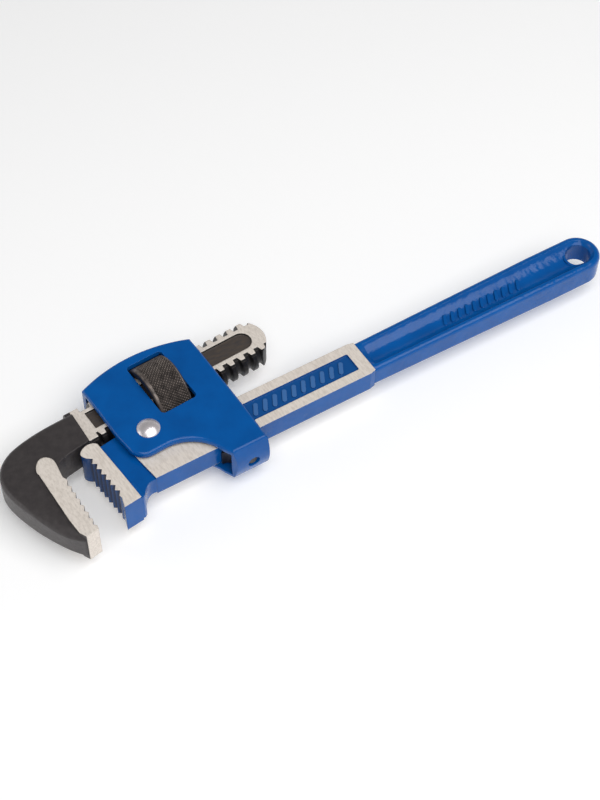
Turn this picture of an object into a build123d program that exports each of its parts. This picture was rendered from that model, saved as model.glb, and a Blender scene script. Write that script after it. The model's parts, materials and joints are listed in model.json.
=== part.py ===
from build123d import *
import math
import os

# Adjustable pipe wrench of the Stillson pattern, nominal length 350 mm.
# It is drawn in the head frame, in millimetres: the pivot rivet's axis is at x = 0, the handle runs
# along +X, the bar's centre line is y = 0, the screw shank is on the +Y side, and z = 0 is the
# mid-plane of the flat tool. export_node() moves each piece to the row frame, whose origin is the
# centre of the hanging hole.

# ---- driving dimensions ----
HANG_X = 228.0              # hanging hole, from the rivet
HANG_R = 6.0
HANG_LAND = 7.0             # height of the low rim round the hole
HANG_RIM = 1.2
RIB_LEAN = 62.0             # raised slanted ribs, a plain cast pattern, in the panel and the channel
PANEL_RIBS = (47.0, 92.0, 10, 7.0, 2.1)         # first and last x, count, rib length and width
CHANNEL_RIBS = (150.0, 192.0, 11, 6.4, 1.7)
PANEL_RIB_H = 0.6
RIB_ROOT = 0.3              # how far below its floor a rib starts, inside the metal
CHANNEL_RIB_TOP_Z = 3.7

BAR_HALF_W = 10.0
BAR_HALF_T = 5.7
BAR_END_X = 101.8
NECK_X = 104.7
PANEL_START_X = 34.0
PANEL_END_X = 98.6
PANEL_HALF_W = 5.2
PANEL_DEPTH = 1.15
PANEL_CORNER_R = 0.8
BAR_END_NEAR = (-8.6, -10.0)        # the line where the flat bar meets the heel jaw's web
BAR_END_LOW = (-8.7, -9.0)
BAR_END_MID = (-10.9, 4.9)
BAR_END_TOP = (-12.0, 19.3)

GRIP_FULL_X = 205.0         # handle section: half width, half thickness and edge radius at each end
NECK_HALF_W, NECK_HALF_T, NECK_EDGE_R = 9.3, 5.7, 2.0
GRIP_HALF_W, GRIP_HALF_T, GRIP_EDGE_R = 10.5, 6.7, 2.1
CHANNEL_FLOOR_Z = 2.7       # the channel down the middle of the handle, both faces
CHANNEL_RUN_IN = 3.5
CHANNEL_LIP = 0.8           # flat left between the channel and the rounded edge

RIVET_Y = 12.3
RIVET_R = 3.5
RIVET_RUNNING = 0.05        # radial running clearance in the bar
RIVET_HEAD_R = 5.2
RIVET_HEAD_H = 2.6
LUG_BOSS_R = 7.0
LUG_BOSS_HALF_T = 6.8

HEEL_HALF_T = 8.7
HEEL_WEB_HALF_T = 4.7
HEEL_TIP_TOP = (-29.7, 12.4)        # the first and the last tooth tip
HEEL_TIP_BOTTOM = (-27.0, -11.8)
HEEL_TEETH = 8
TOOTH_DEPTH = 1.3
HEEL_TOOTH_DEPTH = 1.7      # the fixed jaw's valleys are cut deeper than the hook's
TOOTH_STEEP = 0.35          # share of the pitch that the steep flank takes

HOOK_HALF_T = 7.4
HOOK_STRIP_HALF_T = 8.8
HOOK_TIP_TOP = (-42.2, 6.9)
HOOK_TIP_BOTTOM = (-41.9, -20.3)
HOOK_TEETH = 8
HOOK_EDGE_R = 2.6
HOOK_ROUNDING = [           # along the outer edge to the tip: x, y, width and depth of the rounding
    (-67.3, 17.0, 2.0, 1.6), (-64.6, 5.0, 4.4, 2.8), (-59.8, -7.0, 6.4, 3.8),
    (-54.6, -17.0, 7.6, 4.4), (-47.6, -25.4, 8.2, 4.8)]
HOOK_SHOULDER_X = -24.4

AXIS_TILT = 3.3             # degrees, shank against bar
NUT_CENTRE = (17.0, 34.0)
THREAD_PITCH = 25.4 / 4.5
THREAD_PHASE = 2.8          # where the crest crosses the +Y side, from the nut's middle
CREST_R = 11.2
ROOT_R = 9.2
CREST_HALF = 1.15           # half of the tooth's axial width at the crest and at the root
ROOT_HALF = 1.75
THREAD_GAP = 0.28           # running clearance between the nut and the shank's thread
TOOTH_TURNS = 0.26          # each thread tooth spans the shank's narrow side
SHANK_HALF_T = 6.2
SHANK_END_S = 55.7          # distances s run along the shank from the nut's middle
SHANK_START_S = -44.0
THREAD_START_S = -37.2
RECESS_START_S = -36.0
RECESS_END_S = 49.0
RECESS_HALF_W = 5.0
RECESS_DEPTH = 1.2

NUT_R = 15.3
NUT_HALF_L = 8.2
NUT_CHAMFER = 0.8

HOUSING_HALF_T = 9.75
PLATE_T = 2.6
SPINE_CENTRE = (14.5, -18.3)        # centre of the arc of the housing's back
SPINE_R = 71.5
SPINE_T = 2.8
MOUTH_X = -15.3
REAR_X = 42.3
SPINE_END_X = 40.6
COLLAR_X = 25.8
COLLAR_Y = -20.0
COLLAR_T = 3.1
COLLAR_CROWN = 2.2          # how far the collar's outer face bulges
BRIDGE_X = 28.0
BRIDGE_Y = (10.4, 17.0)
HOUSING_EDGE_R = 1.5
WINDOW_HALF_L = 9.1
WINDOW_LEAD = 0.15          # the window's middle, from the nut's middle
WINDOW_HALF_W = 15.8
WINDOW_SHIFT = -1.7
WINDOW_CORNER_R = 2.0

LEAF_T = 0.8
LEAF_HALF_W = 4.0
LEAF_RIVET_R = 1.7
LEAF_RIVET_HEAD_R = 2.7
LEAF_RIVET_HEAD_H = 1.1
LEAF_TAIL_R = 1.9           # the rivet's outer end, sunk in a drilled hole
LEAF_TAIL_H = 0.7
LEAF_RIVET_HOLE_R = 2.9
LEAF_TAIL_SUNK = 1.8
LEAF_SEAT_GAP = 0.05         # between a leaf and its wall, and between a leaf and its rivet's head
LEAF_HEAD_GAP = 0.08
HEEL_RIVET_X, HEEL_RIVET_Z = 34.3, -1.8
JAW_RIVET_X = 3.0


# ---- helpers ----
def prism(points, half_t):
    """A plate of the given closed outline, centred on the mid-plane."""
    outline = make_face(Polyline(*points, close=True))
    return extrude(outline, half_t, both=True)


def slab(x0, x1, y0, y1, z0, z1):
    """A box between two corners."""
    box = Box(x1 - x0, y1 - y0, z1 - z0)
    return Pos((x0 + x1) / 2, (y0 + y1) / 2, (z0 + z1) / 2) * box


def tooth_line(first, last, count, depth, inward, first_share):
    """Points of a saw-tooth edge. first_share is the share of the pitch from a tip to the root after it."""
    points = []
    step_x = (last[0] - first[0]) / (count - 1)
    step_y = (last[1] - first[1]) / (count - 1)
    for i in range(count):
        x = first[0] + step_x * i
        y = first[1] + step_y * i
        points.append((x, y))
        if i < count - 1:
            points.append((x + step_x * first_share + inward * depth, y + step_y * first_share))
    return points


def axis_plane(s=0.0):
    """A plane on the shank's axis: its z runs along the shank, its x to the tool's +Y side."""
    t = math.radians(AXIS_TILT)
    along = Vector(math.cos(t), math.sin(t), 0)
    side = Vector(-math.sin(t), math.cos(t), 0)
    origin = Vector(NUT_CENTRE[0], NUT_CENTRE[1], 0) + along * s
    return Plane(origin=origin, x_dir=side, z_dir=along)


def on_axis(shape, s=0.0):
    """Places a shape drawn along +Z onto the shank's axis."""
    return axis_plane(s).location * shape


def along_shank(shape):
    """Places a plan drawn with +X along the shank and z = 0 on the mid-plane."""
    return Pos(NUT_CENTRE[0], NUT_CENTRE[1], 0) * Rot(0, 0, AXIS_TILT) * shape


def thread_ridge(root_r, crest_r, root_half, crest_half, start_z, turns, start_angle):
    """A helical ridge of trapezoid section round +Z, right-handed."""
    radius = (root_r + crest_r) / 2
    path = Helix(THREAD_PITCH, THREAD_PITCH * turns, radius)
    corners = [(root_r, -root_half), (crest_r, -crest_half), (crest_r, crest_half), (root_r, root_half)]
    section = Plane.XZ * make_face(Polyline(*corners, close=True))
    ridge = sweep(section, path=path, is_frenet=True)
    return Pos(0, 0, start_z) * Rot(0, 0, start_angle) * ridge


def export_node(shape, name):
    """Writes one piece in the row frame."""
    solid = Pos(-HANG_X, 0, 0) * shape
    solid.label = name
    export_step(solid, "parts/" + name + ".step")


# ---- the handle bar with its heel jaw ----
def grip_section(x, half_w, half_t, edge_r):
    """The handle's outer section, a rounded rectangle standing across the handle."""
    return Plane(origin=(x, 0, 0), x_dir=(0, 1, 0), z_dir=(1, 0, 0)) * RectangleRounded(
        2 * half_w, 2 * half_t, edge_r)


def channel_section(x, half_w, half_t, floor_z):
    """The section of the channel's cutter: a shallow arc below, open above."""
    top = half_t + 6
    lower = ThreePointArc((-half_w, half_t), (0, floor_z), (half_w, half_t))
    upper = Polyline((half_w, half_t), (half_w, top), (-half_w, top), (-half_w, half_t))
    return Plane(origin=(x, 0, 0), x_dir=(0, 1, 0), z_dir=(1, 0, 0)) * make_face(lower + upper)


def make_channel():
    """The cutter for one face: a run-in, the long taper, and a round end about the hanging hole."""
    half_neck = NECK_HALF_W - NECK_EDGE_R - CHANNEL_LIP
    half_grip = GRIP_HALF_W - GRIP_EDGE_R - CHANNEL_LIP
    neck = channel_section(NECK_X + CHANNEL_RUN_IN, half_neck, NECK_HALF_T, CHANNEL_FLOOR_Z)
    full = channel_section(GRIP_FULL_X, half_grip, GRIP_HALF_T, CHANNEL_FLOOR_Z)
    last = channel_section(HANG_X, half_grip, GRIP_HALF_T, CHANNEL_FLOOR_Z)
    start = channel_section(NECK_X + 0.4, half_neck * 0.9, NECK_HALF_T, NECK_HALF_T - 0.4)
    run_in = loft([start, neck])
    taper = loft([neck, full])
    straight = loft([full, last])
    sag = GRIP_HALF_T - CHANNEL_FLOOR_Z
    arc_r = (half_grip ** 2 + sag ** 2) / (2 * sag)
    mid = half_grip / 2
    mid_z = CHANNEL_FLOOR_Z + arc_r - math.sqrt(arc_r ** 2 - mid ** 2)
    top = GRIP_HALF_T + 6
    bowl_edge = ThreePointArc((0, CHANNEL_FLOOR_Z), (mid, mid_z), (half_grip, GRIP_HALF_T))
    bowl_top = Polyline((half_grip, GRIP_HALF_T), (half_grip, top), (0, top), (0, CHANNEL_FLOOR_Z))
    bowl = revolve(Plane.XZ * make_face(bowl_edge + bowl_top), Axis.Z, 360)
    return run_in + taper + straight + Pos(HANG_X, 0, 0) * bowl


def make_heel_jaw():
    """The fixed jaw: a toothed block and the thinner web that joins it to the bar's end."""
    teeth = tooth_line(HEEL_TIP_TOP, HEEL_TIP_BOTTOM, HEEL_TEETH, HEEL_TOOTH_DEPTH, 1, TOOTH_STEEP)
    nose = Polyline(*teeth, (-26.6, -13.2), (-27.9, -18.2), (-19.4, -17.2), (-20.9, 0.0), (-22.6, 17.2))
    crown = Spline((-22.6, 17.2), (-25.2, 18.9), (-29.2, 18.2), (-31.5, 15.6), (-31.0, 13.9), HEEL_TIP_TOP)
    block = extrude(make_face(nose + crown), HEEL_HALF_T, both=True)
    bar_end = [BAR_END_TOP, BAR_END_MID, BAR_END_LOW, BAR_END_NEAR]
    seam = [(-18.4, -17.1), (-22.0, -17.3), (-24.0, 17.5)] + bar_end
    neck = Spline(BAR_END_NEAR, (-13.4, -10.9), (-16.2, -14.0), (-18.4, -17.1))
    web = extrude(make_face(Polyline(*seam) + neck), HEEL_WEB_HALF_T, both=True)
    root_line = [(-22.0, -17.2), (-18.4, -17.1), (-17.2, -16.2), (-18.6, -8.0), (-22.0, -8.0)]
    near_corner = prism(root_line, HEEL_HALF_T - 1.2)
    return block + web + near_corner


def raised_ribs(first, last, count, length, width, low_z, high_z):
    """A row of slanted ribs with round ends, on both faces."""
    row = Sketch()
    for i in range(count):
        x = first + (last - first) * i / (count - 1)
        row += Pos(x, 0) * Rot(0, 0, RIB_LEAN) * SlotOverall(length, width)
    ribs = Pos(0, 0, low_z) * extrude(row, high_z - low_z)
    return ribs + mirror(ribs, Plane.XY)


def make_handle_bar():
    """The flat bar between the heel jaw and the handle, with the pivot's lug."""
    outline = [BAR_END_NEAR, (BAR_END_X, -BAR_HALF_W), (NECK_X, -NECK_HALF_W), (NECK_X, NECK_HALF_W),
               (BAR_END_X, BAR_HALF_W), (22.0, BAR_HALF_W), (9.5, 16.5), (2.0, 19.5),
               BAR_END_TOP, BAR_END_MID, BAR_END_LOW]
    bar = prism(outline, BAR_HALF_T)
    bar += Pos(0, RIVET_Y, 0) * Cylinder(LUG_BOSS_R, 2 * LUG_BOSS_HALF_T)
    panel_l = PANEL_END_X - PANEL_START_X
    panel = extrude(RectangleRounded(panel_l, 2 * PANEL_HALF_W, PANEL_CORNER_R), PANEL_DEPTH)
    panel_x = (PANEL_START_X + PANEL_END_X) / 2
    bar -= Pos(panel_x, 0, BAR_HALF_T - PANEL_DEPTH) * panel
    bar -= Pos(panel_x, 0, -BAR_HALF_T) * panel
    floor_z = BAR_HALF_T - PANEL_DEPTH
    bar += raised_ribs(*PANEL_RIBS, floor_z - RIB_ROOT, floor_z + PANEL_RIB_H)
    return bar - Pos(0, RIVET_Y, 0) * Cylinder(RIVET_R + RIVET_RUNNING, 40)


def make_handle_grip():
    """The handle: a rounded section with a channel down each face and a hanging hole."""
    full = grip_section(GRIP_FULL_X, GRIP_HALF_W, GRIP_HALF_T, GRIP_EDGE_R)
    grip = loft([grip_section(NECK_X, NECK_HALF_W, NECK_HALF_T, NECK_EDGE_R), full])
    grip += loft([full, grip_section(HANG_X, GRIP_HALF_W, GRIP_HALF_T, GRIP_EDGE_R)])
    end = Cylinder(GRIP_HALF_W, 2 * GRIP_HALF_T)
    end = fillet(end.edges().filter_by(GeomType.CIRCLE), GRIP_EDGE_R)
    grip += Pos(HANG_X, 0, 0) * end
    channel = make_channel()
    grip -= channel
    grip -= mirror(channel, Plane.XY)
    grip += Pos(HANG_X, 0, 0) * Cylinder(HANG_R + HANG_RIM, HANG_LAND)
    grip += raised_ribs(*CHANNEL_RIBS, CHANNEL_FLOOR_Z - RIB_ROOT, CHANNEL_RIB_TOP_Z)
    return grip - Pos(HANG_X, 0, 0) * Cylinder(HANG_R, 40)


# ---- the hook jaw ----
def make_hook_body():
    back = Spline((HOOK_SHOULDER_X, 39.9), (-37.5, 39.0), (-49.8, 37.0), (-58.6, 33.7), (-64.2, 28.6),
                  (-67.1, 20.5), (-66.4, 12.5), (-63.4, 2.5), (-59.6, -7.0), (-54.6, -16.6), (-49.2, -22.8))
    front = Polyline((-49.2, -22.8), (-44.5, -21.0), (-44.0, 12.0), (-41.5, 17.4), (-37.5, 19.3),
                     (HOOK_SHOULDER_X, 21.7), (HOOK_SHOULDER_X, 39.9))
    body = extrude(make_face(back + front), HOOK_HALF_T, both=True)
    rims = [e for e in body.edges() if abs(abs(e.center().Z) - HOOK_HALF_T) < 0.01]
    outer = [e for e in rims if e.geom_type == GeomType.BSPLINE]
    body = fillet(outer, HOOK_EDGE_R)
    cutter = make_rim_cutter()
    return body - cutter - mirror(cutter, Plane.XY)


def make_rim_cutter():
    """What the hook's outer edge loses on one face: a rounding that widens towards the tip."""
    sections = []
    for i, (x, y, width, depth) in enumerate(HOOK_ROUNDING):
        before = HOOK_ROUNDING[max(i - 1, 0)]
        after = HOOK_ROUNDING[min(i + 1, len(HOOK_ROUNDING) - 1)]
        run = Vector(after[0] - before[0], after[1] - before[1], 0).normalized()
        outward = Vector(run.Y, -run.X, 0)
        curve = Spline((-width, 0), (0, -depth), tangents=((1, 0), (0, -1)))
        frame = Polyline((0, -depth), (5, -depth), (5, 3), (-width, 3), (-width, 0))
        plane = Plane(origin=(x, y, HOOK_HALF_T), x_dir=outward, z_dir=-run)
        sections.append(plane * make_face(curve + frame))
    return loft(sections)


def make_hook_strip():
    """The toothed strip, thicker than the body, with a flat ground tip."""
    teeth = tooth_line(HOOK_TIP_TOP, HOOK_TIP_BOTTOM, HOOK_TEETH, TOOTH_DEPTH, -1, 1 - TOOTH_STEEP)
    edge = Polyline((-43.0, 12.6), (-43.3, 9.3), *teeth, (-42.1, -22.0), (-48.2, -23.1), (-49.9, -20.0),
                    (-50.7, -12.0), (-51.0, 0.0), (-51.4, 15.4))
    cap = Spline((-51.4, 15.4), (-50.4, 20.4), (-46.6, 22.9), (-43.4, 20.9), (-42.6, 17.0), (-43.0, 12.6))
    return extrude(make_face(edge + cap), HOOK_STRIP_HALF_T, both=True)


def make_shank():
    plain = THREAD_START_S - SHANK_START_S
    shank = Pos(0, 0, SHANK_START_S + plain / 2) * Cylinder(CREST_R, plain)
    core_l = SHANK_END_S - SHANK_START_S
    shank += Pos(0, 0, SHANK_START_S + core_l / 2) * Cylinder(ROOT_R, core_l)
    first = math.ceil((THREAD_START_S - THREAD_PHASE) / THREAD_PITCH)
    last = math.floor((SHANK_END_S - THREAD_PHASE) / THREAD_PITCH)
    start = -THREAD_PITCH * TOOTH_TURNS / 2
    patch = thread_ridge(ROOT_R - 0.3, CREST_R, ROOT_HALF, CREST_HALF, start, TOOTH_TURNS, -180 * TOOTH_TURNS)
    teeth = []
    for i in range(first, last + 1):
        teeth.append(Pos(0, 0, THREAD_PHASE + i * THREAD_PITCH) * patch)
        teeth.append(Pos(0, 0, THREAD_PHASE + (i + 0.5) * THREAD_PITCH) * Rot(0, 0, 180) * patch)
    shank = on_axis(shank.fuse(*teeth))
    mid_s = SHANK_END_S - CREST_R
    outline = Pos((SHANK_START_S + mid_s) / 2, 0) * Rectangle(mid_s - SHANK_START_S, 4 * CREST_R)
    outline += Pos(mid_s, 0) * Circle(CREST_R)
    shank = shank & along_shank(extrude(outline, SHANK_HALF_T, both=True))
    tail = RECESS_END_S - RECESS_HALF_W
    recess = Pos((RECESS_START_S + tail) / 2, 0) * Rectangle(tail - RECESS_START_S, 2 * RECESS_HALF_W)
    recess += Pos(tail, 0) * Circle(RECESS_HALF_W)
    recess = extrude(recess, RECESS_DEPTH)
    shank -= along_shank(Pos(0, 0, SHANK_HALF_T - RECESS_DEPTH) * recess)
    shank -= along_shank(Pos(0, 0, -SHANK_HALF_T) * recess)
    return shank


def make_hook_jaw():
    return make_hook_body() + make_hook_strip() + make_shank()


# ---- the adjusting nut ----
def make_nut():
    """A ring with an inward helical ridge, which fills the gaps of the shank's thread."""
    bore_r = CREST_R + THREAD_GAP
    tip_r = ROOT_R + THREAD_GAP
    nut = Cylinder(NUT_R, 2 * NUT_HALF_L)
    nut = chamfer(nut.edges().filter_by(GeomType.CIRCLE), NUT_CHAMFER)
    nut -= Cylinder(bore_r, 4 * NUT_HALF_L)
    flank = (ROOT_HALF - CREST_HALF) / (CREST_R - ROOT_R)
    tip_half = THREAD_PITCH / 2 - THREAD_GAP - CREST_HALF - flank * (CREST_R - tip_r)
    base_half = THREAD_PITCH / 2 - THREAD_GAP - CREST_HALF
    turns = math.ceil(2 * NUT_HALF_L / THREAD_PITCH) + 2
    first = THREAD_PHASE + THREAD_PITCH * (0.5 - math.ceil(turns / 2))
    ridge = thread_ridge(tip_r, bore_r + 0.2, tip_half, base_half, first, turns, 0)
    return on_axis(nut + (ridge & Cylinder(bore_r + 0.3, 2 * NUT_HALF_L)))


# ---- the housing that pivots on the bar and carries the nut ----
def make_housing():
    mouth_y, heel_y = [SPINE_CENTRE[1] + math.sqrt(SPINE_R ** 2 - (x - SPINE_CENTRE[0]) ** 2)
                       for x in (MOUTH_X, SPINE_END_X)]
    spine_top = (SPINE_CENTRE[0], SPINE_CENTRE[1] + SPINE_R)
    spine = ThreePointArc((MOUTH_X, mouth_y), spine_top, (SPINE_END_X, heel_y))
    rear = Polyline((SPINE_END_X, heel_y), (41.1, 40.0), (REAR_X, 0.0), (REAR_X, COLLAR_Y),
                    (COLLAR_X, COLLAR_Y))
    scoop = Line((COLLAR_X, COLLAR_Y), (22.6, -14.0)) + ThreePointArc((22.6, -14.0), (17.3, -5.2), (3.5, 0.7))
    lobe = Line((3.5, 0.7), (-4.5, 0.2)) + ThreePointArc((-4.5, 0.2), (-9.8, 2.1), (-12.5, 7.5))
    mouth = Polyline((-12.5, 7.5), (-13.8, 17.0), (-14.5, 35.2), (MOUTH_X, mouth_y))
    body = extrude(make_face(spine + rear + scoop + lobe + mouth), HOUSING_HALF_T, both=True)
    crown_y = COLLAR_Y + COLLAR_CROWN
    crown = ThreePointArc((crown_y, -HOUSING_HALF_T), (COLLAR_Y, 0), (crown_y, HOUSING_HALF_T))
    crown += Polyline((crown_y, HOUSING_HALF_T), (60, HOUSING_HALF_T), (60, -HOUSING_HALF_T),
                      (crown_y, -HOUSING_HALF_T))
    body = body & Pos(-60, 0, 0) * extrude(Plane.YZ * make_face(crown), 160)
    rims = [e for e in body.edges() if abs(abs(e.center().Z) - HOUSING_HALF_T) < 0.01]
    body = fillet(rims, HOUSING_EDGE_R)

    gap = HOUSING_HALF_T - PLATE_T
    cavity = Pos(SPINE_CENTRE[0], SPINE_CENTRE[1], 0) * Cylinder(SPINE_R - SPINE_T, 2 * gap)
    cavity = cavity & slab(-30, 60, -40, 60, -gap, gap)
    cavity -= slab(COLLAR_X - 1.2, 60, -40, COLLAR_Y + COLLAR_T, -gap, gap)
    cavity -= slab(BRIDGE_X, 60, BRIDGE_Y[0], BRIDGE_Y[1], -gap, gap)
    body -= cavity
    body -= on_axis(Cylinder(CREST_R + 0.5, 200)) & slab(-60, 80, 0, 60, -gap, gap)
    body -= on_axis(Cylinder(NUT_R + 0.5, 2 * WINDOW_HALF_L), WINDOW_LEAD)
    window = extrude(RectangleRounded(2 * WINDOW_HALF_L, 2 * WINDOW_HALF_W, WINDOW_CORNER_R), 20, both=True)
    body -= along_shank(Pos(WINDOW_LEAD, WINDOW_SHIFT, 0) * window)
    body -= Pos(0, RIVET_Y, 0) * Cylinder(RIVET_R, 40)
    body -= leaf_rivet_hole(heel_rivet_plane(), *HEEL_WALL)
    body -= leaf_rivet_hole(jaw_rivet_plane(), *JAW_WALL)
    return body


def make_rivet():
    """The pivot rivet: a round shank with a domed head on each side."""
    dome_r = (RIVET_HEAD_R ** 2 + (RIVET_HEAD_H - 0.4) ** 2) / (2 * (RIVET_HEAD_H - 0.4))
    mid = RIVET_HEAD_R * 0.6
    top = HOUSING_HALF_T + RIVET_HEAD_H
    mid_z = top - dome_r + math.sqrt(dome_r ** 2 - mid ** 2)
    rim_z = HOUSING_HALF_T + 0.4
    dome = ThreePointArc((0, top), (mid, mid_z), (RIVET_HEAD_R, rim_z))
    under = Polyline((RIVET_HEAD_R, rim_z), (RIVET_HEAD_R, HOUSING_HALF_T), (0, HOUSING_HALF_T), (0, top))
    head = revolve(Plane.XZ * make_face(dome + under), Axis.Z, 360)
    rivet = Cylinder(RIVET_R, 2 * HOUSING_HALF_T) + head + mirror(head, Plane.XY)
    return Pos(0, RIVET_Y, 0) * rivet


# ---- the two leaf springs and their rivets ----
def heel_rivet_plane():
    """The heel spring's rivet line, pointing out through the collar's near wall."""
    return Plane(origin=(HEEL_RIVET_X, 0, HEEL_RIVET_Z), x_dir=(1, 0, 0), z_dir=(0, -1, 0))


def jaw_rivet_plane():
    """The jaw spring's rivet line, out through the housing's back along the arc's radius."""
    lean = math.asin((SPINE_CENTRE[0] - JAW_RIVET_X) / (SPINE_R - SPINE_T))
    out = Vector(-math.sin(lean), math.cos(lean), 0)
    return Plane(origin=(SPINE_CENTRE[0], SPINE_CENTRE[1], 0), x_dir=(0, 0, 1), z_dir=out)


def round_bar(plane, start, end, radius):
    """A round bar along the plane's normal, between two distances from its origin."""
    return plane.location * Pos(0, 0, (start + end) / 2) * Cylinder(radius, end - start)


def leaf_rivet_hole(plane, wall_in, wall_out):
    """A small hole through the wall, opened out on the outside for the sunk head."""
    hole = round_bar(plane, wall_in - 1, wall_out + 1, LEAF_RIVET_R)
    return hole + round_bar(plane, wall_out - LEAF_TAIL_SUNK, wall_out + 1, LEAF_RIVET_HOLE_R)


def leaf_rivet(plane, wall_in, wall_out):
    """A small rivet: one head on the leaf, the other sunk below the wall's outer face."""
    leaf_face = wall_in - LEAF_T - LEAF_SEAT_GAP - LEAF_HEAD_GAP
    seat = wall_out - LEAF_TAIL_SUNK
    rivet = round_bar(plane, leaf_face - LEAF_RIVET_HEAD_H, leaf_face, LEAF_RIVET_HEAD_R)
    rivet += round_bar(plane, leaf_face, seat, LEAF_RIVET_R)
    return rivet + round_bar(plane, seat, seat + LEAF_TAIL_H, LEAF_TAIL_R)


def bent_leaf(points, start_dir, end_dir):
    """The free arm of a leaf spring: a strip of constant thickness along a smooth line."""
    line = Spline(*points, tangents=(start_dir, end_dir))
    sides = []
    for sign in (-1, 1):
        side = []
        for i in range(9):
            tangent = line % (i / 8)
            normal = Vector(-tangent.Y, tangent.X, 0)
            side.append(line @ (i / 8) + normal * (sign * LEAF_T / 2))
        sides.append(side)
    left, right = sides
    outline = Spline(*left) + Line(left[-1], right[-1]) + Spline(*right) + Line(right[0], left[0])
    return extrude(make_face(outline), LEAF_HALF_W, both=True)


def make_heel_spring():
    """The leaf on the collar's near wall, whose free end bears on the bar's near edge."""
    wall = COLLAR_Y + COLLAR_T + LEAF_SEAT_GAP
    seat = slab(HEEL_RIVET_X - 3.4, REAR_X - 1.0, wall, wall + LEAF_T, -LEAF_HALF_W, LEAF_HALF_W)
    start = (HEEL_RIVET_X - 3.4, wall + LEAF_T / 2)
    arm = bent_leaf([start, (27.6, -13.2), (23.2, -10.75)], (-1, 0), (-1, 0.12))
    hole = round_bar(heel_rivet_plane(), 10, 20, LEAF_RIVET_R)
    return Pos(0, 0, HEEL_RIVET_Z) * (seat + arm) - hole


def make_jaw_spring():
    """The leaf under the housing's back, whose free end bears on the shank's thread."""
    outer = SPINE_R - SPINE_T - LEAF_SEAT_GAP
    ring = Cylinder(outer, 2 * LEAF_HALF_W) - Cylinder(outer - LEAF_T, 2 * LEAF_HALF_W)
    seat = Pos(SPINE_CENTRE[0], SPINE_CENTRE[1], 0) * ring
    seat = seat & slab(-2.0, 7.0, 40, 60, -LEAF_HALF_W, LEAF_HALF_W)
    reach = outer - LEAF_T / 2
    lean = math.asin((SPINE_CENTRE[0] + 2.0) / reach)
    start = (-2.0, SPINE_CENTRE[1] + reach * math.cos(lean))
    arm = bent_leaf([start, (-6.2, 45.9), (-11.0, 44.5)], (-math.cos(lean), -math.sin(lean)), (-1, -0.1))
    return seat + arm - round_bar(jaw_rivet_plane(), 60, 80, LEAF_RIVET_R)


HEEL_WALL = (-COLLAR_Y - COLLAR_T, -COLLAR_Y)
JAW_WALL = (SPINE_R - SPINE_T, SPINE_R)

os.makedirs("parts", exist_ok=True)
export_node(make_heel_jaw(), "heel_jaw")
export_node(make_handle_bar(), "handle_bar")
export_node(make_handle_grip(), "handle_grip")
export_node(make_hook_jaw(), "hook_jaw")
export_node(make_nut(), "adjusting_nut")
export_node(make_housing(), "housing")
export_node(make_rivet(), "pivot_rivet")
export_node(make_heel_spring(), "heel_spring")
export_node(leaf_rivet(heel_rivet_plane(), *HEEL_WALL), "heel_spring_rivet")
export_node(make_jaw_spring(), "jaw_spring")
export_node(leaf_rivet(jaw_rivet_plane(), *JAW_WALL), "jaw_spring_rivet")
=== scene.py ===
import json
import math

import bpy
import numpy as np
from mathutils import Matrix, Vector


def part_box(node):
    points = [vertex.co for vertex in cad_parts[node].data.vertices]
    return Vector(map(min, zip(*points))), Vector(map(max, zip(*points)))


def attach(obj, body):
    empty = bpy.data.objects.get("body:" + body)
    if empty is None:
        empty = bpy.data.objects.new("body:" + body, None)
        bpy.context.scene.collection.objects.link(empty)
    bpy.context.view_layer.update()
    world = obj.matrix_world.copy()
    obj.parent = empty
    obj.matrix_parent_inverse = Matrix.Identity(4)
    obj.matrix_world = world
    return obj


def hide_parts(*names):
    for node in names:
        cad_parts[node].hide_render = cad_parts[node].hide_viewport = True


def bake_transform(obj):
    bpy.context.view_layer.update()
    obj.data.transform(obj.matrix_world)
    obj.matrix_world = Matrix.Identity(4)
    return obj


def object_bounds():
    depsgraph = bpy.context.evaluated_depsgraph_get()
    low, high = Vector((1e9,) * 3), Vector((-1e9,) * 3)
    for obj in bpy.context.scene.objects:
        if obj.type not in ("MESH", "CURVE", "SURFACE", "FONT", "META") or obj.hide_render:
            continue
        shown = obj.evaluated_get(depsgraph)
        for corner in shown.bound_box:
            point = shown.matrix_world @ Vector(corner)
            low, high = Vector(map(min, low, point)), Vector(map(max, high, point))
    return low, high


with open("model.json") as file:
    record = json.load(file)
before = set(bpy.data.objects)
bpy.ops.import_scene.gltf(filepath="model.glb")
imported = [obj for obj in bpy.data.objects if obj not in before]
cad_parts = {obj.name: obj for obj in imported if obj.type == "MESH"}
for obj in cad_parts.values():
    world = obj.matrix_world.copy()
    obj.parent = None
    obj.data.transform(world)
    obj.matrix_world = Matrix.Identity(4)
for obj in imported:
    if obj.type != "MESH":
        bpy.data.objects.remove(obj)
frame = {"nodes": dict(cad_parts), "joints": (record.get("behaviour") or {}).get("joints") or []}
cad_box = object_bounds()

# ---- places and sizes on the tool, in metres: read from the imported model, or repeated from the CAD ----
rivet_low, rivet_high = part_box("pivot_rivet")
HEAD = (rivet_low + rivet_high) / 2                    # the pivot rivet's middle
heel_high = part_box("heel_jaw")[1]
hook_low, hook_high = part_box("hook_jaw")
joints = {joint["name"]: joint for joint in frame["joints"]}
SHANK_AXIS = Vector(joints["nut_spin"]["axis"]).normalized()
NUT_MIDDLE = Vector(joints["nut_spin"]["pos_m"])
SHANK_SIDE = Vector((-SHANK_AXIS.y, SHANK_AXIS.x, 0))

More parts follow.
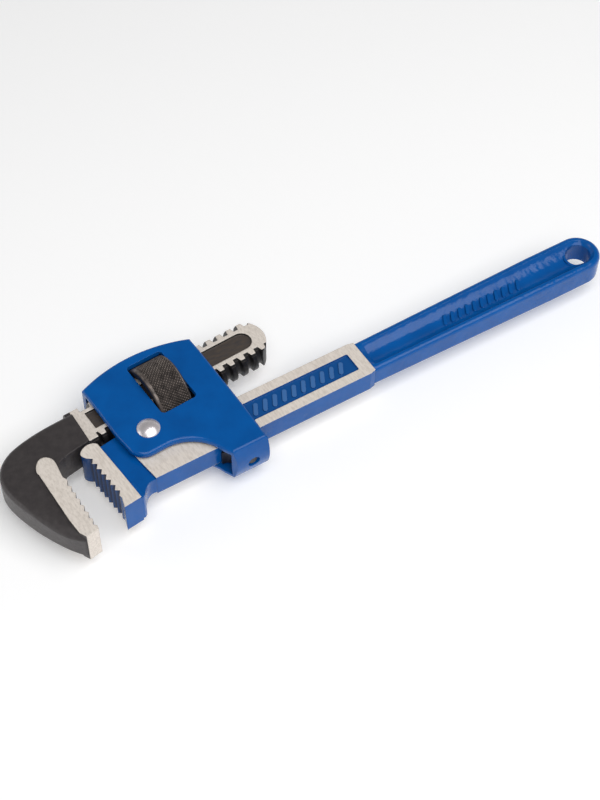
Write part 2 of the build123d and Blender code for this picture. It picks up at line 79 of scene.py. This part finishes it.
HEEL_HALF_T = heel_high.z
STRIP_HALF_T = hook_high.z
BAR_HALF_T = 0.0057
SHANK_HALF_T = 0.0062
RECESS_FLOOR = 0.0050
PANEL_DEPTH = 0.00115
RIB_HEIGHT = 0.0006
PANEL_FLOOR = BAR_HALF_T - PANEL_DEPTH
RIB_TOP = PANEL_FLOOR + RIB_HEIGHT
SHANK_START_X = hook_low.x + 0.0425                    # where the hook's arm gives way to the shank
HOOK_END_SLOPE = 0.18                                  # the hook's ground end face: lean and one point
HOOK_END_X = HEAD.x - 0.0421
HOOK_END_Y = -0.022
HOOK_END_TOL = 0.00012
HEEL_TIP_TOP = HEAD + Vector((-0.0297, 0.0001, 0))     # the line along the heel's tooth tips
HEEL_TIP_TURN = math.radians(6.4)
HEEL_TIP_LOW_Y = -0.0127
HEEL_TOOTH_DEPTH = 0.0017
FACE_TOL = 0.00008
FLANK_TOL = 0.0001


# ---- materials ----
class Finish:
    """A node material on one Principled shader, with short calls for the nodes that these finishes use."""

    def __init__(self, name):
        self.material = bpy.data.materials.new(name)
        self.material.use_nodes = True
        self.nodes = self.material.node_tree.nodes
        self.links = self.material.node_tree.links
        self.shader = self.nodes["Principled BSDF"]
        self.place = self.nodes.new("ShaderNodeTexCoord").outputs["Object"]
        split = self.nodes.new("ShaderNodeSeparateXYZ")
        self.links.new(self.place, split.inputs[0])
        self.x, self.y, self.z = split.outputs

    def put(self, socket, value):
        if isinstance(value, bpy.types.NodeSocket):
            self.links.new(value, socket)
        else:
            socket.default_value = value

    def math(self, operation, *values):
        node = self.nodes.new("ShaderNodeMath")
        node.operation = operation
        for i, value in enumerate(values):
            self.put(node.inputs[i], value)
        return node.outputs[0]

    def vector_math(self, operation, *values):
        node = self.nodes.new("ShaderNodeVectorMath")
        node.operation = operation
        for i, value in enumerate(values):
            self.put(node.inputs[i], value)
        return node.outputs["Value" if operation == "LENGTH" else "Vector"]

    def near(self, value, target, tolerance=FACE_TOL):
        return self.math("COMPARE", value, target, tolerance)

    def span(self, value, low, high):
        """0 below low, 1 above high, and straight between them."""
        node = self.nodes.new("ShaderNodeMapRange")
        for name, v in (("Value", value), ("From Min", low), ("From Max", high)):
            self.put(node.inputs[name], v)
        return node.outputs["Result"]

    def noise(self, scale, detail=3.0, stretch=(1, 1, 1)):
        mapping = self.nodes.new("ShaderNodeMapping")
        self.links.new(self.place, mapping.inputs["Vector"])
        mapping.inputs["Scale"].default_value = stretch
        node = self.nodes.new("ShaderNodeTexNoise")
        self.links.new(mapping.outputs[0], node.inputs["Vector"])
        node.inputs["Scale"].default_value = scale
        node.inputs["Detail"].default_value = detail
        return node.outputs["Fac"]

    def mix(self, factor, a, b):
        node = self.nodes.new("ShaderNodeMix")
        node.data_type = "RGBA"
        self.put(node.inputs[0], factor)
        for socket, colour in ((node.inputs[6], a), (node.inputs[7], b)):
            self.put(socket, colour if isinstance(colour, bpy.types.NodeSocket) else (*colour, 1))
        return node.outputs[2]

    def blend(self, factor, a, b):
        """A number that goes from a to b with the factor."""
        node = self.nodes.new("ShaderNodeMix")
        self.put(node.inputs[0], factor)
        self.put(node.inputs[2], a)
        self.put(node.inputs[3], b)
        return node.outputs[0]

    def bump(self, height, distance, normal=None, strength=1.0):
        node = self.nodes.new("ShaderNodeBump")
        self.put(node.inputs["Height"], height)
        node.inputs["Distance"].default_value = distance
        self.put(node.inputs["Strength"], strength)
        if normal:
            self.put(node.inputs["Normal"], normal)
        return node.outputs[0]

    def soft_edges(self, radius):
        node = self.nodes.new("ShaderNodeBevel")
        node.inputs["Radius"].default_value = radius
        return node.outputs[0]

    def finish(self, colour, metallic, roughness, normal):
        values = {"Base Color": colour, "Metallic": metallic, "Roughness": roughness, "Normal": normal}
        for name, value in values.items():
            if not isinstance(value, (float, int, bpy.types.NodeSocket)):
                value = (*value, 1)
            self.put(self.shader.inputs[name], value)
        return self.material


BLUE = (0.001, 0.097, 0.37)
BLUE_DEEP = (0.001, 0.08, 0.315)
STEEL = (0.82, 0.75, 0.68)
STEEL_DULL = (0.66, 0.595, 0.53)
STEEL_METAL = 0.15
BLACK = (0.05, 0.044, 0.045)
BLACK_WORN = (0.066, 0.058, 0.058)
RECESS = (0.10, 0.078, 0.062)
# painted shade: the shank's threads are darker than the rest of the black forging
THREAD_SHADE_BLACK = (0.016, 0.014, 0.014)
NUT_DARK = (0.016, 0.013, 0.012)
NUT_RUBBED = (0.17, 0.14, 0.125)
# painted shade on the heel's teeth: navy in the valleys, a darker blue near the tips
TOOTH_VALLEY_SHADE_NAVY = (0.001, 0.016, 0.07)
TOOTH_TIP_SHADE_BLUE = (0.001, 0.055, 0.22)
# painted shade on the sunken panel's floor, and a painted highlight on its raised rib tops
PANEL_SHADE_BLUE = (0.006, 0.075, 0.27)
RIB_HIGHLIGHT_BLUE = (0.05, 0.15, 0.38)
PAINT_SPECULAR = 0.3


def ground_steel(f, stretch):
    """Colour, roughness and height of a ground face, with fine marks along the stretched axis."""
    marks = f.noise(1300, 4, stretch)
    blotch = f.noise(420, 3)
    colour = f.mix(f.span(marks, 0.3, 0.6), STEEL_DULL, STEEL)
    colour = f.mix(f.math("MULTIPLY", f.span(blotch, 0.5, 0.75), 0.35), colour, STEEL_DULL)
    rough = f.blend(f.span(marks, 0.3, 0.7), 0.5, 0.38)
    return colour, rough, marks


def blue_paint(f, grain):
    """Colour, roughness and height of thick gloss enamel over a forging or a casting."""
    pool = f.noise(90, 3)
    pebble = f.noise(grain, 2)
    colour = f.mix(f.span(pool, 0.3, 0.7), BLUE_DEEP, BLUE)
    rough = f.blend(f.span(f.noise(700, 2), 0.35, 0.7), 0.12, 0.2)
    f.shader.inputs["Specular IOR Level"].default_value = PAINT_SPECULAR
    return colour, rough, pebble


def tooth_shade(f, blue):
    """The heel's teeth: painted shade, a lighter blue along each tip and navy in each valley, both darker
    than the plain paint.
    """
    across = f.math("MULTIPLY", f.math("SUBTRACT", f.x, HEEL_TIP_TOP.x), math.cos(HEEL_TIP_TURN))
    along = f.math("MULTIPLY", f.math("SUBTRACT", f.y, HEEL_TIP_TOP.y), math.sin(HEEL_TIP_TURN))
    depth = f.math("ADD", across, along)
    tooth = f.mix(f.span(depth, 0.1 * HEEL_TOOTH_DEPTH, 0.7 * HEEL_TOOTH_DEPTH), TOOTH_TIP_SHADE_BLUE, TOOTH_VALLEY_SHADE_NAVY)
    clear = f.span(depth, 1.15 * HEEL_TOOTH_DEPTH, 1.3 * HEEL_TOOTH_DEPTH)
    below = f.math("LESS_THAN", f.y, HEEL_TIP_LOW_Y)
    return f.mix(f.math("MAXIMUM", clear, below), tooth, blue)


def make_bar_finish(name, with_flats=False, with_teeth=False):
    """Blue paint, with ground steel on the bar's flat faces or on the heel jaw's, painted shade on the
    heel's teeth and on the panel's floor, and a painted highlight on the panel's rib tops.
    """
    f = Finish(name)
    height = f.math("ABSOLUTE", f.z)
    blue, blue_rough, pebble = blue_paint(f, 260)
    normal = f.soft_edges(0.0005)
    if not (with_flats or with_teeth):
        return f.finish(blue, 0.0, blue_rough, f.bump(pebble, 0.00025, normal))
    if with_flats:
        ground = f.near(height, BAR_HALF_T)
        # painted shade on the panel's floor and a painted highlight on the rib tops
        blue = f.mix(f.near(height, PANEL_FLOOR), blue, PANEL_SHADE_BLUE)
        blue = f.mix(f.near(height, RIB_TOP), blue, RIB_HIGHLIGHT_BLUE)
    else:
        ground = f.near(height, HEEL_HALF_T)
        # painted shade darkens the heel's teeth
        blue = tooth_shade(f, blue)
    steel, steel_rough, marks = ground_steel(f, (1.0, 0.25, 1.0))
    normal = f.bump(pebble, 0.00022, normal, f.math("SUBTRACT", 1.0, ground))
    normal = f.bump(marks, 0.00005, normal, ground)
    metal = f.math("MULTIPLY", ground, STEEL_METAL)
    return f.finish(f.mix(ground, blue, steel), metal, f.blend(ground, blue_rough, steel_rough), normal)


def make_housing_finish():
    f = Finish("housing_paint")
    blue, rough, pebble = blue_paint(f, 170)
    normal = f.bump(pebble, 0.00022, f.soft_edges(0.0004))
    return f.finish(blue, 0.0, rough, normal)


def make_hook_finish():
    """Dark phosphate over the forging, with ground strip, shank faces and end, a dull recess, and painted
    shade on the shank's threads.
    """
    f = Finish("hook_phosphate_ground_faces_and_thread_shade")
    height = f.math("ABSOLUTE", f.z)
    strip = f.near(height, STRIP_HALF_T)
    behind = f.math("GREATER_THAN", f.x, SHANK_START_X)
    shank = f.math("MULTIPLY", f.near(height, SHANK_HALF_T), behind)
    recess = f.math("MULTIPLY", f.near(height, RECESS_FLOOR), behind)
    end_line = f.math("SUBTRACT", f.y, f.math("MULTIPLY", f.x, HOOK_END_SLOPE))
    end_face = f.math("LESS_THAN", end_line, HOOK_END_Y - HOOK_END_SLOPE * HOOK_END_X + HOOK_END_TOL)
    ground = f.math("MAXIMUM", f.math("MAXIMUM", strip, shank), end_face)
    steel, steel_rough, marks = ground_steel(f, (1.0, 0.4, 1.0))
    mottle = f.noise(330, 4)
    black = f.mix(f.span(mottle, 0.35, 0.75), BLACK, BLACK_WORN)
    # painted shade on the shank's threads, below its ground faces
    below_shank_face = f.math("LESS_THAN", height, SHANK_HALF_T - FLANK_TOL)
    black = f.mix(f.math("MULTIPLY", behind, below_shank_face), black, THREAD_SHADE_BLACK)
    floor = f.mix(f.span(f.noise(800, 4, (0.3, 1.0, 1.0)), 0.3, 0.7), RECESS, BLACK_WORN)
    black = f.mix(recess, black, floor)
    black_rough = f.blend(f.span(f.noise(900, 3), 0.3, 0.7), 0.34, 0.46)
    normal = f.soft_edges(0.0008)
    normal = f.bump(f.noise(520, 3), 0.00012, normal, f.math("SUBTRACT", 1.0, ground))
    normal = f.bump(marks, 0.00005, normal, ground)
    metal = f.blend(ground, 0.25, STEEL_METAL)
    return f.finish(f.mix(ground, black, steel), metal, f.blend(ground, black_rough, steel_rough), normal)


def make_nut_finish():
    """Dark phosphate that is rubbed bright on the knurl's crests, by distance from the nut's axis."""
    f = Finish("nut_phosphate")
    from_middle = f.vector_math("SUBTRACT", f.place, NUT_MIDDLE)
    radius = f.vector_math("LENGTH", f.vector_math("CROSS_PRODUCT", from_middle, SHANK_AXIS))
    crest = f.span(radius, NUT_R - KNURL_DEPTH, NUT_R - 0.1 * KNURL_DEPTH)
    rubbed = f.math("MULTIPLY", crest, f.span(f.noise(400, 3), 0.2, 0.6))
    colour = f.mix(rubbed, NUT_DARK, NUT_RUBBED)
    return f.finish(colour, 0.4, f.blend(rubbed, 0.5, 0.34), f.bump(f.noise(1500, 2), 0.00002))


def make_zinc_finish():
    f = Finish("rivet_zinc")
    cloud = f.span(f.noise(420, 3), 0.35, 0.7)
    colour = f.mix(cloud, (0.84, 0.79, 0.81), (0.7, 0.65, 0.67))
    rough = f.blend(cloud, 0.26, 0.36)
    return f.finish(colour, 0.65, rough, f.bump(f.noise(450, 3), 0.0001, f.soft_edges(0.0003)))


def make_leaf_rivet_finish():
    f = Finish("leaf_rivet_steel")
    cloud = f.span(f.noise(700, 3), 0.3, 0.7)
    colour = f.mix(cloud, (0.03, 0.028, 0.03), (0.11, 0.1, 0.1))
    rough = f.blend(cloud, 0.35, 0.5)
    return f.finish(colour, 0.6, rough, f.bump(f.noise(900, 3), 0.00005, f.soft_edges(0.0002)))


def make_spring_finish():
    f = Finish("spring_steel")
    grain = f.noise(500, 3, (0.1, 1.0, 1.0))
    colour = f.mix(f.span(grain, 0.3, 0.7), (0.012, 0.013, 0.02), (0.035, 0.036, 0.05))
    return f.finish(colour, 0.7, 0.38, f.bump(grain, 0.00003))


nodes = frame["nodes"]
finishes = {
    "heel_jaw": make_bar_finish("heel_paint_ground_face_and_tooth_shade", with_teeth=True),
    "handle_bar": make_bar_finish("bar_paint_ground_flats_panel_shade_and_rib_highlight", with_flats=True),
    "handle_grip": make_bar_finish("handle_paint"),
    "hook_jaw": make_hook_finish(),
    "housing": make_housing_finish(),
    "pivot_rivet": make_zinc_finish(),
    "heel_spring": make_spring_finish(),
}
finishes["heel_spring_rivet"] = make_leaf_rivet_finish()
finishes["jaw_spring_rivet"] = finishes["heel_spring_rivet"]
finishes["jaw_spring"] = finishes["heel_spring"]
for node, material in finishes.items():
    nodes[node].data.materials.clear()
    nodes[node].data.materials.append(material)


def make_bending_leaf():
    """A copy of the rigid leaf, whose arm runs from the housing to the bar, baked in place and shown
    instead of the leaf part.
    """
    leaf = bpy.data.objects.new("heel_leaf", nodes["heel_spring"].data.copy())
    bpy.context.scene.collection.objects.link(leaf)
    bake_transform(leaf)
    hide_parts("heel_spring")


make_bending_leaf()


# ---- the knurled nut ----
NUT_R = 0.01529
NUT_HALF_L = 0.0082
PITCH = 0.0254 / 4.5
THREAD_PHASE = 0.0028
BORE_R = 0.01148
THREAD_TIP_R = 0.00948
KNURLS = 58
KNURL_PITCH = 0.00165
KNURL_DEPTH = 0.0006
BAND = (0.0018, 0.0009)         # smooth bands at the two ends
CHAMFER = 0.0007
BORE_EASE = 0.0004              # the bore's lead-in at each end
CELL_STEPS = 8                  # mesh steps round one knurl
OUTER_ROWS = 92
INNER_ROWS = 36
SHARP_ANGLE = 35
CREST_GAIN = 1.5                # above 1, it leaves a small flat on each knurl's crest
BAND_RUN_OUT = 0.0003           # over which the grooves fade into the bands
RIDGE_HALF_CREST = 0.0008       # the bore's thread ridge: half its crest, and one sloping side
RIDGE_SIDE = 0.0006


def triangle_wave(t):
    return 1 - np.abs(2 * (t - np.floor(t)) - 1)


def knurled_radius(turn, s):
    """The nut's outer radius: two crossed sets of grooves between the smooth bands."""
    a = triangle_wave(turn * KNURLS + s / KNURL_PITCH)
    b = triangle_wave(turn * KNURLS - s / KNURL_PITCH)
    height = np.minimum(np.minimum(a, b) * CREST_GAIN, 1.0)
    inside = np.minimum(s + NUT_HALF_L - BAND[0], NUT_HALF_L - BAND[1] - s)
    inside = np.clip(inside / BAND_RUN_OUT, 0, 1)
    return NUT_R - KNURL_DEPTH * (1 - height) * inside


def threaded_radius(turn, s):
    """The bore's radius: a ridge that fills the gaps of the shank's right-hand thread."""
    phase = (s - THREAD_PHASE) / PITCH - turn + 0.5
    away = np.abs(phase - np.round(phase)) * PITCH
    share = np.clip((away - RIDGE_HALF_CREST) / RIDGE_SIDE, 0, 1)
    return THREAD_TIP_R + (BORE_R - THREAD_TIP_R) * share


def make_nut():
    """The nut as one closed ring, row by row along its axis: knurled outside, threaded inside."""
    around = KNURLS * CELL_STEPS
    turn = np.arange(around) / around
    rows = []
    outer = np.linspace(-NUT_HALF_L + CHAMFER, NUT_HALF_L - CHAMFER, OUTER_ROWS)
    inner = np.linspace(NUT_HALF_L - BORE_EASE, -NUT_HALF_L + BORE_EASE, INNER_ROWS)
    rows.append((np.full(around, NUT_R - CHAMFER), -NUT_HALF_L))
    for s in outer:
        rows.append((knurled_radius(turn, s), s))
    rows.append((np.full(around, NUT_R - CHAMFER), NUT_HALF_L))
    rows.append((np.full(around, BORE_R + BORE_EASE), NUT_HALF_L))
    for s in inner:
        rows.append((threaded_radius(turn, s), s))
    rows.append((np.full(around, BORE_R + BORE_EASE), -NUT_HALF_L))
    points = []
    for radius, s in rows:
        side = radius * np.cos(turn * 2 * math.pi)
        up = radius * np.sin(turn * 2 * math.pi)
        for a, b in zip(side, up):
            on_axis = NUT_MIDDLE + SHANK_AXIS * float(s)
            points.append(on_axis + SHANK_SIDE * float(a) + Vector((0, 0, float(b))))
    faces = []
    count = len(rows)
    for i in range(count):
        for j in range(around):
            k = (j + 1) % around
            n = (i + 1) % count
            faces.append((i * around + j, i * around + k, n * around + k, n * around + j))
    mesh = bpy.data.meshes.new("knurled_nut")
    mesh.from_pydata([p[:] for p in points], [], faces)
    mesh.materials.append(make_nut_finish())
    for polygon in mesh.polygons:
        polygon.use_smooth = True
    nut = bpy.data.objects.new("knurled_nut", mesh)
    bpy.context.scene.collection.objects.link(nut)
    sharp = nut.modifiers.new("edges", "EDGE_SPLIT")
    sharp.split_angle = math.radians(SHARP_ANGLE)
    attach(nut, "nut")
    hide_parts("adjusting_nut")


make_nut()


# ---- floor, light and camera ----
def make_floor():
    size = 9.0
    z = cad_box[0].z - 0.0002
    mesh = bpy.data.meshes.new("floor")
    corners = [(-size, -size, z), (size, -size, z), (size, size, z), (-size, size, z)]
    mesh.from_pydata(corners, [], [(0, 1, 2, 3)])
    floor = bpy.data.objects.new("floor", mesh)
    bpy.context.scene.collection.objects.link(floor)
    f = Finish("floor_white")
    f.shader.inputs["Emission Color"].default_value = (1, 1, 1, 1)
    f.shader.inputs["Emission Strength"].default_value = 0.16
    mesh.materials.append(f.finish((0.92, 0.92, 0.92), 0.0, 0.8, f.bump(f.noise(4, 2), 0.0001)))


def soft_light(name, place, target, size, watts):
    data = bpy.data.lights.new(name, "AREA")
    data.shape = "RECTANGLE"
    data.size, data.size_y = size
    data.energy = watts
    lamp = bpy.data.objects.new(name, data)
    lamp.location = place
    lamp.rotation_mode = "QUATERNION"
    lamp.rotation_quaternion = (Vector(target) - Vector(place)).to_track_quat("-Z", "Y")
    bpy.context.scene.collection.objects.link(lamp)


make_floor()
middle = (cad_box[0] + cad_box[1]) / 2
soft_light("key", middle + Vector((0.05, -0.55, 1.15)), middle, (1.6, 1.2), 18)
soft_light("side", middle + Vector((-1.4, 0.5, 0.5)), middle, (0.9, 0.6), 2.5)


def make_world():
    """A pale room, brighter at the horizon and dim overhead, so that flat gloss faces stay deep."""
    world = bpy.data.worlds.new("studio")
    world.use_nodes = True
    tree = world.node_tree
    background = tree.nodes["Background"]
    coords = tree.nodes.new("ShaderNodeTexCoord")
    split = tree.nodes.new("ShaderNodeSeparateXYZ")
    level = tree.nodes.new("ShaderNodeMapRange")
    level.inputs["From Min"].default_value = 0.1
    level.inputs["From Max"].default_value = 0.6
    level.inputs["To Min"].default_value = 0.55
    level.inputs["To Max"].default_value = 0.12
    tree.links.new(coords.outputs["Generated"], split.inputs[0])
    tree.links.new(split.outputs[2], level.inputs["Value"])
    tree.links.new(level.outputs["Result"], background.inputs["Strength"])
    background.inputs["Color"].default_value = (1, 1, 1, 1)
    bpy.context.scene.world = world


make_world()
bpy.context.scene.view_settings.view_transform = "Standard"

FOCAL_PX = 1582.68
CENTRE_PX = (287.20, 359.09)
IMAGE_W, IMAGE_H = 600, 800
SENSOR_W = 36
camera_data = bpy.data.cameras.new("camera")
camera_data.sensor_width = SENSOR_W
camera_data.lens = FOCAL_PX / IMAGE_H * SENSOR_W
camera_data.shift_x = (IMAGE_W / 2 - CENTRE_PX[0]) / IMAGE_H
camera_data.shift_y = (CENTRE_PX[1] - IMAGE_H / 2) / IMAGE_H
camera_data.clip_start = 0.01
camera_data.clip_end = 20
camera = bpy.data.objects.new("camera", camera_data)
right = Vector((0.852230, -0.523167, 0.000833))
forward = Vector((0.332733, 0.540787, -0.772553)).normalized()
right = (right - forward * right.dot(forward)).normalized()
up = right.cross(forward)
eye = HEAD + Vector((-0.166007, -0.385181, 0.562500))
camera.matrix_world = Matrix.Translation(eye) @ Matrix((right, up, -forward)).transposed().to_4x4()
bpy.context.scene.collection.objects.link(camera)
bpy.context.scene.camera = camera
